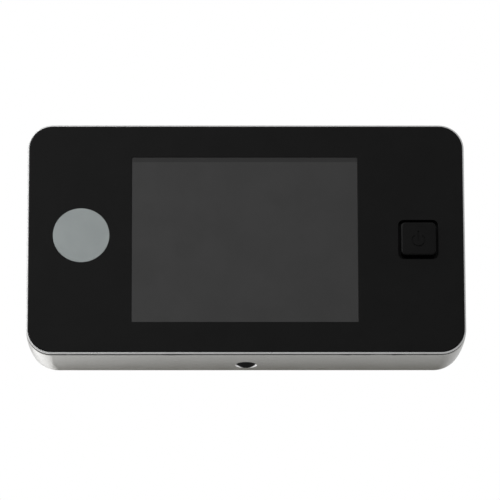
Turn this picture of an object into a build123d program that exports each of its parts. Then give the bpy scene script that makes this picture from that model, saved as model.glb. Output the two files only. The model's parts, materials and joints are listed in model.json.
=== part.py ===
from build123d import *
from math import hypot, radians, tan
import os

# A digital door viewer, in millimetres. X runs to the right seen from indoors, Y runs out through the door
# and Z runs up. The origin is on the camera barrel's axis, at the indoor face of the door.

# Case
body_width = 127.8
body_height = 70.0
body_depth = 20.5
rim_corner_radius = 7.4
back_corner_radius = 8.3
draft_angle = 2.6
back_edge_radius = 1.4
shell_edge_radius = 0.5
wall = 1.8
back_wall = 1.6
back_gap = 0.5
overrun = 1.0

# Silver rim and the groove behind it
rim_width = 0.4
rim_thickness = 0.5
rim_edge_radius = 0.2
rim_seat_depth = 0.25
rim_ledge_width = 2.7
groove_width = 1.2
groove_depth = 0.6
spigot_length = 1.6
spigot_gap = 0.12

# Front panel
panel_gap = 0.05
panel_proud = 0.35
panel_thickness = 2.0
panel_edge_radius = 0.3
window_corner_radius = 0.4
window_x = -0.35
window_z = -0.3

# Clear pane in the window, let in from behind: a flange, a wall and a face just below the panel's
pane_gap = 0.05
pane_sink = 0.1
pane_thickness = 1.0
pane_wall = 1.2
pane_flange = 0.2
pane_lap_x = 0.8
pane_lap_z = 0.35

# Disc at the left of the panel
disc_inset = 15.8
disc_z = 0.93
disc_radius = 8.25
disc_gap = 0.05
disc_recess = 0.25
disc_proud = 0.1

# Power button and its switch
button_inset = 13.65
button_z = -0.35
button_width = 10.2
button_height = 10.0
button_corner_radius = 1.3
button_edge_radius = 0.5
button_gap_x = 0.7
button_gap_z = 0.95
button_proud = 1.1
button_travel = 0.6
button_flange_overlap = 0.7
button_flange_thickness = 0.8
button_flange_gap = 0.05
button_stem_radius = 2.0
guide_wall = 1.0
guide_gap = 0.1
guide_depth = 1.9
symbol_radius = 1.8
symbol_stroke = 0.45
symbol_depth = 0.25
symbol_bar_length = 2.9
symbol_opening_angle = 76.0
symbol_drop = 0.65
switch_size = 6.0
switch_height = 1.6
plunger_radius = 1.5
plunger_height = 0.9
plunger_gap = 0.05
plunger_seat = 0.4

# Screen module
gasket_thickness = 0.4
gasket_border = 1.2
gasket_side_inset = 1.6
screen_margin_x = 25.1
screen_margin_z = 7.5
window_border_x = 5.8
window_border_z = 2.25
screen_depth = 3.0
screen_skin = 0.3
screen_lip = 3.2
glass_thickness = 1.2
glass_gap = 0.05
screen_corner_radius = 0.6
locating_rib = 1.0
locating_rib_length = 30.0
locating_rib_depth = 1.6
locating_gap = 0.15

# Main board and what it carries
board_gap = 0.45
board_thickness = 1.2
board_bay_gap = 1.2
board_side_gap = 2.9
board_end_margin = 2.5
board_post_inset = 3.6
board_post_end_inset = 3.5
screen_post_gap = 4.2
board_post_radius = 2.3
board_screw_radius = 0.9
board_screw_head_radius = 1.9
board_screw_head = 1.2
board_screw_length = 4.6
board_hole_radius = 1.1
screw_gap = 0.05
pad_width = 6.0
pad_height = 12.0
pad_x = 21.0
processor_size = 14.0
processor_inset = 27.0
memory_gap = 3.0
processor_height = 1.1
memory_width = 8.0
memory_height = 12.0
memory_thickness = 1.0
capacitor_radius = 3.15
capacitor_height = 5.4
capacitor_post_gap = 3.0
capacitor_z = 12.0
inductor_size = 6.0
inductor_height = 3.0
socket_width = 11.0
socket_height = 4.0
socket_depth = 3.6
socket_inset = 9.0
socket_slot = 1.0
socket_slot_margin = 1.2
tail_width = 16.0
tail_thickness = 0.15
tail_bend = 1.2
tail_drop = 1.5
tail_gap = 0.35
connector_height = 3.2
connector_depth = 1.1
connector_edge_gap = 1.0

# Case screws
case_screw_inset_x = 13.9
case_screw_inset_z = 6.1
case_post_radius = 2.2
case_boss_radius = 2.9
case_split_depth = 9.0
case_screw_radius = 1.0
case_screw_head_radius = 1.8
case_screw_head = 1.4
case_screw_length = 7.0
case_head_gap = 0.2
case_head_depth = 2.4

# Batteries, AAA size
cell_count = 3
cell_radius = 5.25
cell_end_margin = 13.25
cell_nub_radius = 1.9
cell_nub = 1.0
cell_edge_radius = 0.5
cell_pitch = 11.0
cell_gap = 0.1
contact_thickness = 0.4
contact_width = 8.6
contact_back = 4.6
contact_bump = 0.5
contact_bump_radius = 2.0
spring_length = 3.2
spring_base_radius = 3.4
spring_tip_radius = 2.2
bay_floor = 0.8
bay_end_gap = 0.1
bay_wall = 1.6
bay_end_wall = 0.7
bay_side_wall = 2.7
lead_thickness = 0.25
lead_width = 1.6
lead_lap = 1.5

# Battery cover
cover_thickness = 1.2
cover_gap = 0.1
cover_ledge = 0.25
cover_end_ledge = 0.9
cover_corner_radius = 1.5
cover_cell_gap = 0.9
cover_angle = 75.0
hook_width = 5.0
hook_thickness = 1.2
hook_reach = 2.6
hook_root = 1.5
hook_gap = 0.1
hook_x_share = 0.75
tongue_width = 8.0
tongue_thickness = 0.7
tongue_depth = 2.2
tongue_inset = 1.6
notch_radius = 5.0
notch_depth = 0.9
grip_count = 4
grip_length = 16.0
grip_pitch = 2.4
grip_width = 0.9
grip_depth = 0.35
grip_inset = 4.0

# Wall bracket
bracket_bay_gap = 2.2
bracket_inset_top = 10.0
bracket_inset_bottom = 11.0
bracket_thickness = 1.2
bracket_corner_radius = 3.0
bracket_hole_gap = 0.15
bracket_screw_inset = 7.0
bracket_screw_hole = 1.7
bracket_screw_head = 3.2
bracket_screw_sink = 0.7
prong_inset = 9.0
prong_width = 8.0
prong_reach = 6.0
prong_height = 3.8
prong_gap = 0.3
flange_width = 13.0
flange_tip = 2.4
flange_corner_radius = 2.0
nut_radius = 2.2
nut_height = 1.0
lift_travel = 5.0
lift_spare = 0.6
rest_gap = 0.05
recess_gap = 0.5
recess_wall = 1.4
recess_depth = 10.9
recess_floor = 1.2

# Lock screw in the dished hole of the underside
lock_depth = 12.4
dish_radius = 3.15
dish_stretch_share = 1.15
dish_depth = 1.3
dish_floor_radius = 2.3
lock_bore_radius = 1.9
lock_head_radius = 1.75
lock_head = 1.6
lock_web = 1.6
lock_radius = 1.0
lock_gap = 0.05
lock_clear_gap = 0.2
lock_boss_radius = 3.2
lock_past_nut = 1.0
lock_travel = 3.0
cross_width = 0.5
cross_length = 2.2
cross_depth = 0.8

# Clamp sleeve, barrel and the door between them
door_thickness = 45.0
thinnest_door = 38.0
thickest_door = 60.0
barrel_radius = 5.5
thread_engagement = 10.0
barrel_bore = 4.5
thread_pitch = 1.0
thread_depth = 0.3
thread_start = 1.0
thread_length = 32.0
sleeve_gap = 0.05
sleeve_wall = 1.15
sleeve_flange_radius = 10.0
sleeve_flange = 2.0
sleeve_edge = 0.4
key_width = 2.2
key_depth = 1.0
door_gasket_thickness = 1.0
door_gasket_radius = 13.4
door_gasket_gap = 0.2

# Camera head outside the door
head_radius = 14.5
head_front_radius = 13.4
head_depth = 8.0
head_back = 1.5
head_bore_radius = 9.8
sensor_board_thickness = 1.0
sensor_size = 6.0
sensor_height = 0.8
sensor_board_gap = 0.2
head_seat = 0.05
sensor_socket_width = 6.0
sensor_socket_height = 2.4
sensor_socket_depth = 1.8
holder_radius = 6.0
holder_wall = 1.2
holder_flange_radius = 8.0
holder_flange = 0.8
holder_window_gap = 0.6
lens_gap = 0.05
rear_lens_thickness = 0.8
spacer_thickness = 0.5
front_lens_edge = 0.25
front_lens_crown = 0.8
lens_ledge = 0.7
window_radius = 10.5
window_thickness = 1.2
window_gap = 0.1
seal_thickness = 0.3
seal_width = 0.65
trim_thickness = 1.2
trim_inner_radius = 9.2
trim_radius = 13.0
trim_edge_radius = 0.4

# Places along Y, worked out from the sizes above
shell_back = -back_gap
rim_face = shell_back - body_depth
rim_back = rim_face + rim_thickness
rim_ledge = rim_face + rim_seat_depth
shell_front = rim_back + groove_width
panel_front = rim_face - panel_proud
panel_back = panel_front + panel_thickness
button_front = panel_front - button_proud
screen_front = panel_back + gasket_thickness
screen_back = screen_front + screen_depth
board_front = screen_back + board_gap
board_back = board_front + board_thickness
case_split = panel_back + case_split_depth
switch_top = board_front - switch_height
plunger_top = switch_top - plunger_height
recess_face = -recess_depth - back_gap
recess_front = recess_face - recess_floor
cover_inside = shell_back - cover_thickness
cell_y = cover_inside - cover_cell_gap - cell_radius
bay_face = cell_y - cell_radius - cell_gap
bay_front = bay_face - bay_floor
head_foot = door_thickness + door_gasket_thickness
head_front = head_foot + head_depth
barrel_length = thinnest_door
barrel_end = door_thickness - barrel_length
sleeve_length = thickest_door - barrel_length + thread_engagement
sleeve_bore = barrel_radius + sleeve_gap
sleeve_radius = sleeve_bore + sleeve_wall
sleeve_face = -bracket_thickness

# Places along X and Z
disc_x = -body_width / 2 + disc_inset
button_x = body_width / 2 - button_inset
opening_width = button_width + 2 * button_gap_x
opening_height = button_height + 2 * button_gap_z
screen_width = body_width - 2 * screen_margin_x
screen_height = body_height - 2 * screen_margin_z
window_width = screen_width - 2 * window_border_x
window_height = screen_height - 2 * window_border_z
cell_length = body_height - 2 * cell_end_margin
bay_width = cell_count * cell_pitch
bay_left = -body_width / 2 + bay_side_wall
bay_right = bay_left + bay_width
board_left = bay_right + board_bay_gap
board_right = body_width / 2 - board_side_gap
board_height = screen_height - 2 * board_end_margin
board_post_left = screen_width / 2 + screen_post_gap
board_post_right = board_right - board_post_inset
board_post_z = board_height / 2 - board_post_end_inset
capacitor_x = board_post_left - capacitor_post_gap
processor_x = board_left + processor_inset
memory_x = processor_x - (processor_size + memory_width) / 2 - memory_gap
socket_z = board_height / 2 - socket_inset
case_screw_x = body_width / 2 - case_screw_inset_x
case_screw_z = body_height / 2 - case_screw_inset_z
bracket_width = -2 * (bay_right + bracket_bay_gap)
bracket_top = body_height / 2 - bracket_inset_top
bracket_bottom = -body_height / 2 + bracket_inset_bottom
bracket_screw_x = bracket_width / 2 - bracket_screw_inset
prong_x = bracket_width / 2 - prong_inset
cell_total = cell_length + cell_nub
bay_half_height = (cell_total + spring_length + contact_bump + 2 * contact_thickness) / 2 + bay_end_gap
cover_bottom = -bay_half_height - cover_end_ledge
cover_top = bay_half_height + cover_end_ledge
cover_left = bay_left - cover_ledge
cover_right = bay_right + cover_ledge
recess_top = bracket_top + rest_gap
recess_bottom = bracket_bottom - lift_travel - lift_spare
recess_half_width = bracket_width / 2 + recess_gap
lock_y = rim_face + lock_depth
lock_web_top = bracket_bottom - lift_travel - lift_spare / 2
lock_web_bottom = lock_web_top - lock_web
bottom_at_lock = -body_height / 2 + (lock_y - shell_front) * tan(radians(draft_angle))


def block(x, y, z):
    """A box between its lowest and highest x, y and z."""
    box = Box(x[1] - x[0], y[1] - y[0], z[1] - z[0])
    return Pos((x[0] + x[1]) / 2, (y[0] + y[1]) / 2, (z[0] + z[1]) / 2) * box


def upright(outline, y, centre=(0, 0)):
    """Stand a flat outline up across Y and thicken it from y[0] to y[1]."""
    return Pos(centre[0], y[1], centre[1]) * Rot(90, 0, 0) * extrude(outline, y[1] - y[0])


def disc(radius, y, centre=(0, 0)):
    """A round bar along Y."""
    return upright(Circle(radius), y, centre)


def post(radius, z, centre=(0, 0)):
    """A round bar along Z, centred at an x and y."""
    bar = Cylinder(radius, z[1] - z[0])
    return Pos(centre[0], centre[1], (z[0] + z[1]) / 2) * bar


def turned(points):
    """A solid turned round the Y axis from (radius, y) points."""
    face = make_face(Polyline([(r, y) for r, y in points], close=True))
    return revolve(face, Axis.Y)


def four(x, z):
    """The four places at plus and minus x and z."""
    return [(sx * x, sz * z) for sx in (-1, 1) for sz in (-1, 1)]


def rim_outline(inset):
    """The rim's outline drawn in by an inset."""
    width = body_width - 2 * inset
    height = body_height - 2 * inset
    return RectangleRounded(width, height, rim_corner_radius - inset)


def shell_outline(y, inset=0):
    """The shell's outline at a place along Y: it narrows and its corners grow rounder towards the back."""
    share = (y - shell_front) / (shell_back - shell_front)
    drawn_in = inset + (y - shell_front) * tan(radians(draft_angle))
    radius = rim_corner_radius + (back_corner_radius - rim_corner_radius) * share - inset
    outline = RectangleRounded(body_width - 2 * drawn_in, body_height - 2 * drawn_in, radius)
    return Pos(0, y, 0) * Rot(90, 0, 0) * outline


def shell_block(y, inset=0):
    """The shell's outer form, or its inside when inset, between two places along Y."""
    return loft([shell_outline(y[0], inset), shell_outline(y[1], inset)], ruled=True)


def silver_rim():
    lip = upright(rim_outline(0), (rim_face, rim_back))
    lip = fillet(lip.edges().group_by(Axis.Y)[0], rim_edge_radius)
    neck = upright(rim_outline(groove_depth), (rim_back, shell_front))
    spigot = shell_block((shell_front, shell_front + spigot_length), wall + spigot_gap)
    ring = lip + neck + spigot
    ring -= upright(rim_outline(rim_width), (rim_face - overrun, rim_ledge))
    inside = rim_width + rim_ledge_width
    ring -= upright(rim_outline(inside), (rim_ledge - overrun, shell_front + spigot_length + overrun))
    return ring


def button_guide():
    """Four walls behind the panel that lead the button's flange."""
    width = opening_width + 2 * (button_flange_overlap + guide_gap)
    height = opening_height + 2 * (button_flange_overlap + guide_gap)
    span = (panel_back, panel_back + guide_depth)
    frame = Rectangle(width + 2 * guide_wall, height + 2 * guide_wall) - Rectangle(width, height)
    return upright(frame, span, (button_x, button_z))


def locating_ribs():
    """Ribs behind the panel at the left and right of the screen."""
    ribs = []
    near = screen_width / 2 + locating_gap
    for side in (-1, 1):
        x = sorted((side * near, side * (near + locating_rib)))
        z = (-locating_rib_length / 2, locating_rib_length / 2)
        ribs.append(block(x, (panel_back, panel_back + locating_rib_depth), z))
    return ribs


def front_panel():
    edge = rim_width + panel_gap
    face = upright(rim_outline(edge), (panel_front, rim_ledge))
    face = fillet(face.edges().group_by(Axis.Y)[0], panel_edge_radius)
    plate = face + upright(rim_outline(rim_width + rim_ledge_width + panel_gap), (rim_ledge, panel_back))
    for x, z in four(case_screw_x, case_screw_z):
        plate += disc(case_post_radius, (panel_back, case_split), (x, z))
    for x in (board_post_left, board_post_right):
        for z in (-board_post_z, board_post_z):
            plate += disc(board_post_radius, (panel_back, board_front), (x, z))
    plate += button_guide()
    for rib in locating_ribs():
        plate += rib
    through = (panel_front - overrun, panel_back + overrun)
    window = RectangleRounded(window_width, window_height, window_corner_radius)
    plate -= upright(window, through, (window_x, window_z))
    button_hole = RectangleRounded(opening_width, opening_height, button_corner_radius + button_gap_x / 2)
    plate -= upright(button_hole, through, (button_x, button_z))
    disc_seat = (panel_front - overrun, panel_front + disc_recess)
    plate -= disc(disc_radius + disc_gap, disc_seat, (disc_x, disc_z))
    for x, z in four(case_screw_x, case_screw_z):
        bore = (case_split - case_screw_length, case_split + overrun)
        plate -= disc(case_screw_radius + screw_gap, bore, (x, z))
    for x in (board_post_left, board_post_right):
        for z in (-board_post_z, board_post_z):
            bore = (board_back - board_screw_length - screw_gap, board_front + overrun)
            plate -= disc(board_screw_radius + screw_gap, bore, (x, z))
    return plate


def badge_disc():
    face = panel_front - disc_proud
    plate = disc(disc_radius, (face, panel_front + disc_recess), (disc_x, disc_z))
    return fillet(plate.edges().group_by(Axis.Y)[0], disc_proud / 2)


def power_symbol():
    """The open ring and the bar of the power symbol, as a flat outline."""
    ring = Circle(symbol_radius + symbol_stroke / 2) - Circle(symbol_radius - symbol_stroke / 2)
    reach = 2 * symbol_radius
    half = reach * tan(radians(symbol_opening_angle / 2))
    ring -= make_face(Polyline([(0, 0), (-half, reach), (half, reach)], close=True))
    return ring + Pos(0, symbol_bar_length / 2) * Rectangle(symbol_stroke, symbol_bar_length)


def power_button():
    centre = (button_x, button_z)
    flange_front = panel_back + button_flange_gap
    flange_back = flange_front + button_flange_thickness
    outline = RectangleRounded(button_width, button_height, button_corner_radius)
    cap = upright(outline, (button_front, flange_front), centre)
    cap = fillet(cap.edges().group_by(Axis.Y)[0], button_edge_radius)
    width = opening_width + 2 * button_flange_overlap
    height = opening_height + 2 * button_flange_overlap
    cap += upright(Rectangle(width, height), (flange_front, flange_back), centre)
    cap += disc(button_stem_radius, (flange_back, plunger_top), centre)
    symbol_place = (button_x, button_z - symbol_drop)
    cap -= upright(power_symbol(), (button_front - overrun, button_front + symbol_depth), symbol_place)
    return cap


def tact_switch():
    half = switch_size / 2
    y = (switch_top, board_front)
    body = block((button_x - half, button_x + half), y, (button_z - half, button_z + half))
    bore = (switch_top - overrun, switch_top + plunger_seat + button_travel + plunger_gap)
    return body - disc(plunger_radius + plunger_gap, bore, (button_x, button_z))


def switch_plunger():
    return disc(plunger_radius, (plunger_top, switch_top + plunger_seat), (button_x, button_z))


def screen_gasket():
    width = window_width + 2 * gasket_border
    height = window_height + 2 * gasket_border
    wide = screen_width - 2 * gasket_side_inset
    frame = RectangleRounded(wide, screen_height, screen_corner_radius) - Rectangle(width, height)
    return upright(frame, (panel_back, screen_front))


def screen_frame():
    """The pressed tray that holds the screen: closed behind, with a lip round its front."""
    outline = RectangleRounded(screen_width, screen_height, screen_corner_radius)
    tray = upright(outline, (screen_front, screen_back))
    inside = (screen_front + screen_skin, screen_back - screen_skin)
    tray -= upright(Rectangle(screen_width - 2 * screen_skin, screen_height - 2 * screen_skin), inside)
    opening = Rectangle(screen_width - 2 * screen_lip, screen_height - 2 * screen_skin - 2 * glass_gap)
    tray -= upright(opening, (screen_front - overrun, inside[1]))
    notch = (-screen_height / 2 - overrun, -screen_height / 2 + screen_skin + overrun)
    half = tail_width / 2 + glass_gap
    tray -= block((-half, half), inside, notch)
    return tray


def screen_stack():
    """Places along Y of the pane's flange, the glass's face, the glass's back and the backlight's back."""
    glass_face = screen_front + screen_skin + glass_gap
    glass_back = glass_face + glass_thickness
    return glass_face - pane_flange, glass_face, glass_back, screen_back - screen_skin


def window_pane():
    flange_face, glass_face, _, _ = screen_stack()
    centre = (window_x, window_z)
    front = panel_front + pane_sink
    width = window_width - 2 * pane_gap
    height = window_height - 2 * pane_gap
    flange = Rectangle(window_width + 2 * pane_lap_x, window_height + 2 * pane_lap_z)
    outline = RectangleRounded(width, height, window_corner_radius - pane_gap)
    pane = upright(outline, (front, glass_face), centre)
    pane += upright(flange, (flange_face, glass_face), centre)
    hollow = Rectangle(width - 2 * pane_wall, height - 2 * pane_wall)
    return pane - upright(hollow, (front + pane_thickness, glass_face + overrun), centre)


def glass_outline():
    inset = screen_skin + glass_gap
    return Rectangle(screen_width - 2 * inset, screen_height - 2 * inset)


def screen_glass():
    _, glass_face, glass_back, _ = screen_stack()
    return upright(glass_outline(), (glass_face, glass_back))


def screen_backlight():
    _, _, glass_back, light_back = screen_stack()
    return upright(glass_outline(), (glass_back, light_back))


def screen_tail():
    """The flat ribbon that leaves the glass, turns under the frame and lies on the back of the board."""
    _, _, glass_back, _ = screen_stack()
    front = glass_back - tail_thickness
    back = board_back + tail_gap
    start = -screen_height / 2 + screen_skin + glass_gap
    low = -screen_height / 2 - tail_drop
    end = -board_height / 2 + connector_edge_gap
    outer = Pos((front + back + tail_thickness) / 2, 0) * RectangleRounded(
        back + tail_thickness - front, 2 * abs(low), tail_bend)
    inner = Pos((front + back + tail_thickness) / 2, 0) * RectangleRounded(
        back - tail_thickness - front, 2 * (abs(low) - tail_thickness), tail_bend - tail_thickness)
    loop = outer - inner
    upper = Pos(front, end + body_height) * Rectangle(2 * body_height, 2 * body_height)
    loop -= upper
    front_cut = Pos((front + back) / 2 - body_height / 2, start + body_height / 2)
    loop -= front_cut * Rectangle(body_height, body_height)
    return Pos(-tail_width / 2, 0, 0) * Rot(0, 90, 0) * Rot(0, 0, 90) * extrude(loop, tail_width)


def board_screw_places():
    return [(x, z) for x in (board_post_left, board_post_right) for z in (-board_post_z, board_post_z)]


def main_board():
    half = board_height / 2
    board = block((board_left, board_right), (board_front, board_back), (-half, half))
    for place in board_screw_places():
        board -= disc(board_hole_radius, (board_front - overrun, board_back + overrun), place)
    return board


def screw_along_y(place, seat, length, radii, head):
    """A pan head screw that points to -Y, with its head's seat at a place along Y."""
    radius, head_radius = radii
    shank = disc(radius, (seat - length, seat), place)
    top = disc(head_radius, (seat, seat + head), place)
    top = fillet(top.edges().group_by(Axis.Y)[-1], head / 3)
    slot_y = (seat + head / 2, seat + head + overrun)
    for width, height in ((head_radius, head_radius / 4), (head_radius / 4, head_radius)):
        top -= upright(Rectangle(width, height), slot_y, place)
    return shank + top


def board_screws():
    made = []
    for place in board_screw_places():
        radii = (board_screw_radius, board_screw_head_radius)
        made.append(screw_along_y(place, board_back, board_screw_length, radii, board_screw_head))
    return Compound(children=made)


def case_screw_seat():
    return shell_back - case_head_depth - case_screw_head


def case_screws():
    seat = case_screw_seat()
    length = seat - case_split + case_screw_length - screw_gap
    made = []
    for place in four(case_screw_x, case_screw_z):
        radii = (case_screw_radius, case_screw_head_radius)
        made.append(screw_along_y(place, seat, length, radii, case_screw_head))
    return Compound(children=made)


def board_pads():
    pads = []
    for side in (-1, 1):
        centre = side * pad_x
        pads.append(upright(Rectangle(pad_width, pad_height), (screen_back, board_front), (centre, 0)))
    return Compound(children=pads)


def processor():
    y = (board_back, board_back + processor_height)
    outline = RectangleRounded(processor_size, processor_size, processor_height / 4)
    return upright(outline, y, (processor_x, 0))


def memory_chip():
    y = (board_back, board_back + memory_thickness)
    return upright(Rectangle(memory_width, memory_height), y, (memory_x, 0))


def capacitors():
    made = []
    for side in (-1, 1):
        place = (capacitor_x, side * capacitor_z)
        can = disc(capacitor_radius, (board_back, board_back + capacitor_height), place)
        made.append(fillet(can.edges().group_by(Axis.Y)[-1], capacitor_radius / 6))
    return Compound(children=made)


def inductor():
    y = (board_back, board_back + inductor_height)
    outline = RectangleRounded(inductor_size, inductor_size, inductor_size / 5)
    return upright(outline, y, (capacitor_x, 0))


def ribbon_socket():
    """The socket that the camera's ribbon plugs into, open towards the back."""
    y = (board_back, board_back + socket_depth)
    body = upright(Rectangle(socket_width, socket_height), y, (0, socket_z))
    slot = Rectangle(socket_width - 2 * socket_slot_margin, socket_slot)
    return body - upright(slot, (board_back + socket_depth / 3, y[1] + overrun), (0, socket_z))


def tail_connector():
    low = -board_height / 2 + connector_edge_gap
    half = tail_width / 2 + connector_edge_gap
    y = (board_back, board_back + connector_depth)
    return block((-half, half), y, (low, low + connector_height))


def cell_places():
    """Each cell's x, and 1 where its positive end is up or -1 where it is down."""
    places = []
    for i in range(cell_count):
        x = bay_left + cell_pitch * (i + 1 / 2)
        places.append((x, 1 if i % 2 == 0 else -1))
    return places


def positive_face():
    """How far above the middle a cell's positive end stands."""
    return bay_half_height - bay_end_gap - contact_thickness - contact_bump


def battery_cell(x, up):
    top = positive_face()
    can = post(cell_radius, (top - cell_total, top - cell_nub), (0, 0))
    can = fillet(can.edges(), cell_edge_radius)
    can += post(cell_nub_radius, (top - cell_nub - cell_edge_radius, top), (0, 0))
    turn = 0 if up > 0 else 180
    return Pos(x, cell_y, 0) * Rot(0, turn, 0) * can


def contact_plate(x, side):
    """A plate at the top or bottom end of the bay, from x[0] to x[1]."""
    inner = bay_half_height - bay_end_gap - contact_thickness
    z = sorted((side * inner, side * (inner + contact_thickness)))
    return block(x, (bay_face, -contact_back), z)


def contact_dome(x, side):
    """The raised dimple that touches a cell's positive end."""
    top = bay_half_height - bay_end_gap - contact_thickness
    cone = Cone(contact_bump_radius, contact_bump_radius / 2, contact_bump)
    turn = 180 if side > 0 else 0
    return Pos(x, cell_y, side * (top - contact_bump / 2)) * Rot(turn, 0, 0) * cone


def link_plate(first, second, side):
    """A plate that joins two neighbouring cells at one end, with a dimple for the positive one."""
    half = contact_width / 2
    plate = contact_plate((first[0] - half, second[0] + half), side)
    for x, up in (first, second):
        if up == side:
            plate += contact_dome(x, side)
    return plate


def terminal(cell, side):
    """An end plate with a foot through the bay's floor and a lead behind it that lies on the board's edge."""
    x, up = cell
    half = contact_width / 2
    plate = contact_plate((x - half, x + half), side)
    if up == side:
        plate += contact_dome(x, side)
    inner = bay_half_height - bay_end_gap - contact_thickness
    lead_z = sorted((side * inner, side * (inner - lead_width)))
    foot_z = sorted((side * inner, side * (inner + contact_thickness)))
    lead_y = (board_back, board_back + lead_thickness)
    plate += block((x - lead_width, x + lead_width), (board_back, bay_face), foot_z)
    plate += block((x - lead_width, board_left + lead_lap), lead_y, lead_z)
    return plate


def contact_springs():
    """The outer form of the coil springs at the cells' negative ends."""
    made = []
    for x, up in cell_places():
        side = -up
        base = bay_half_height - bay_end_gap - contact_thickness
        cone = Cone(spring_base_radius, spring_tip_radius, spring_length)
        turn = 180 if side > 0 else 0
        made.append(Pos(x, cell_y, side * (base - spring_length / 2)) * Rot(turn, 0, 0) * cone)
    return Compound(children=made)


def hook_places():
    """The x of the cover's two hooks."""
    middle = (bay_left + bay_right) / 2
    reach = bay_width / 2 * hook_x_share - hook_width / 2
    return [middle - reach, middle + reach]


def hook_top():
    return shell_back - back_wall - hook_gap


def hook_sweep():
    """How far from the cover's hinge line its hooks reach."""
    return hypot(shell_back - hook_top() + hook_thickness, hook_reach)


def battery_cover():
    plate_z = (cover_bottom, cover_top)
    width = cover_right - cover_left
    middle = (cover_left + cover_right) / 2
    outline = RectangleRounded(width, plate_z[1] - plate_z[0], cover_corner_radius)
    plate = upright(outline, (cover_inside, shell_back), (middle, 0))
    low = hook_top() - hook_thickness
    for x in hook_places():
        span = (x - hook_width / 2, x + hook_width / 2)
        plate += block(span, (low, cover_inside), (cover_bottom, cover_bottom + hook_root))
        plate += block(span, (low, hook_top()), (cover_bottom - hook_reach, cover_bottom + hook_root))
    tongue_top = bay_half_height - tongue_inset + tongue_thickness
    tongue_x = (middle - tongue_width / 2, middle + tongue_width / 2)
    tongue_y = (cover_inside - tongue_depth, cover_inside)
    plate += block(tongue_x, tongue_y, (tongue_top - tongue_thickness, tongue_top))
    for i in range(grip_count):
        z = cover_top - grip_inset - i * grip_pitch
        groove = SlotOverall(grip_length, grip_width)
        plate -= upright(groove, (shell_back - grip_depth, shell_back + overrun), (middle, z))
    return plate


def cover_seat():
    """What the cover and its hooks need cut from the shell."""
    width = cover_right - cover_left + 2 * cover_gap
    height = cover_top - cover_bottom + 2 * cover_gap
    middle = (cover_left + cover_right) / 2
    outline = RectangleRounded(width, height, cover_corner_radius + cover_gap)
    cut = upright(outline, (cover_inside - cover_gap, shell_back + overrun), (middle, 0))
    deep = shell_back - hook_sweep() - hook_gap - cover_gap
    under = shell_back - back_wall
    end = cover_bottom - hook_reach - cover_gap
    for x in hook_places():
        span = (x - hook_width / 2 - cover_gap, x + hook_width / 2 + cover_gap)
        inner_end = -bay_half_height + overrun
        cut += block(span, (deep, under), (end, inner_end))
        cut += block(span, (deep, cover_inside), (cover_bottom - cover_gap, inner_end))
    notch_y = (shell_back - notch_depth, shell_back + overrun)
    return cut + disc(notch_radius, notch_y, (middle, cover_top + cover_gap))


def battery_bay():
    """The bay's walls and floor, and the space inside them."""
    inner = (-bay_half_height, bay_half_height)
    outer = (cover_bottom - bay_end_wall, cover_top + bay_end_wall)
    walls = block((-body_width / 2, bay_right + bay_wall), (bay_front, shell_back), outer)
    space = block((bay_left, bay_right), (bay_face, shell_back + overrun), inner)
    return walls, space


def lead_slots():
    """Slots in the bay's floor for the feet of the two terminals."""
    cells = cell_places()
    inner = bay_half_height - bay_end_gap - contact_thickness
    cuts = []
    for cell, side in ((cells[0], 1), (cells[-1], -1)):
        x = cell[0]
        z = sorted((side * (inner - cell_gap), side * (inner + contact_thickness + bay_end_gap)))
        half = lead_width + cell_gap
        cuts.append(block((x - half, x + half), (bay_front - overrun, bay_face + overrun), z))
    return cuts


def bracket_recess():
    """The walls and floor round the bracket, and the space inside them."""
    side = recess_half_width + recess_wall
    walls = block((-side, side), (recess_front, shell_back), (-body_height / 2, recess_top + recess_wall))
    x = (-recess_half_width, recess_half_width)
    space = block(x, (recess_face, shell_back + overrun), (recess_bottom, recess_top))
    return walls, space


def lock_cut():
    """The dished hole, the screw head's bore and the shank's hole, up through the shell's underside."""
    dish_top = bottom_at_lock + dish_depth
    place = (0, lock_y)
    wide = dish_radius + (dish_radius - dish_floor_radius) * overrun / dish_depth
    cone = Cone(wide, dish_floor_radius, dish_depth + overrun)
    dish = Pos(0, lock_y, dish_top - (dish_depth + overrun) / 2) * scale(cone, by=(1, dish_stretch_share, 1))
    bore = post(lock_bore_radius, (dish_top - overrun, lock_web_bottom), place)
    hole = post(lock_radius + lock_clear_gap, (lock_web_bottom - overrun, lock_web_top + overrun), place)
    return dish + bore + hole


def case_screw_holes():
    """The sunk holes for the case screws' heads and the holes for their shanks."""
    seat = case_screw_seat()
    cuts = []
    for place in four(case_screw_x, case_screw_z):
        cuts.append(disc(case_screw_head_radius + case_head_gap, (seat, shell_back + overrun), place))
        cuts.append(disc(case_screw_radius + case_head_gap, (case_split - overrun, seat + overrun), place))
    return cuts


def prong_slots():
    """Slots in the top wall of the recess for the bracket's prongs."""
    half = prong_width / 2 + prong_gap
    y = (-prong_reach - prong_gap, -prong_reach + bracket_thickness + prong_gap)
    z = (recess_top - overrun, recess_top + recess_wall + overrun)
    return [block((side * prong_x - half, side * prong_x + half), y, z) for side in (-1, 1)]


def socket_window():
    """The opening in the recess's floor that the ribbon socket stands in."""
    half_width = socket_width / 2 + socket_slot_margin
    half_height = socket_height / 2 + socket_slot_margin
    y = (recess_front - overrun, recess_face + overrun)
    return block((-half_width, half_width), y, (socket_z - half_height, socket_z + half_height))


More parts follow.
